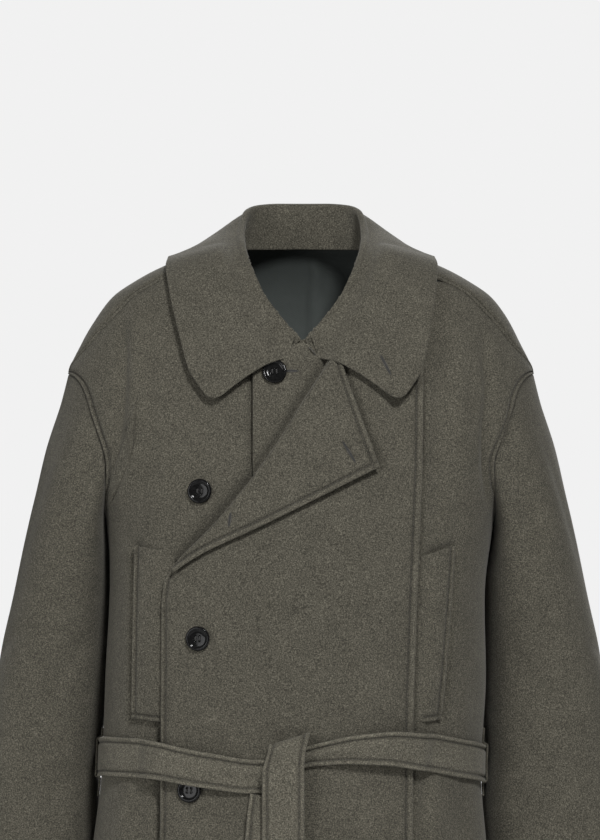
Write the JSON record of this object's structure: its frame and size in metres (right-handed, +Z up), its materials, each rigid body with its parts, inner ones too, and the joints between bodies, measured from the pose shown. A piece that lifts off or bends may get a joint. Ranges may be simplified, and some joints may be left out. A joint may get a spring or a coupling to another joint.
{
  "type": "wrap coat",
  "caption": "Belted wrap coat in thick felted wool with a wide turned-down collar, a turned-back wrap front, dark buttons and a half-knotted belt, in its worn shape with nobody in it.",
  "frame": {"origin": "inside the neck, at the height where the coat rests on the shoulders", "axes": "+X to the wearer's left, the front faces -Y, +Z up"},
  "size_m": [0.712, 0.3656, 1.1524],
  "materials": {
    "wool": "felted, matt, with a short nap",
    "lining": "smooth twill, slight sheen",
    "button": "polished"
  },
  "bodies": {
    "root": {"back": "wool", "lining_back": "lining", "side_left": "wool", "front_right": "wool", "inner_placket": "wool", "front_left": "wool", "lapel": "wool", "welt_left": "wool", "welt_right": "wool", "sleeve_left": "wool", "sleeve_right": "wool", "collar": "wool", "belt_waist": "wool", "belt_knot": "wool", "belt_end": "wool", "belt_loop_left": "wool", "belt_loop_right": "wool", "button_neck": "button", "button_chest": "button", "button_wrap": "button", "button_waist": "button"}
  },
  "joints": []
}
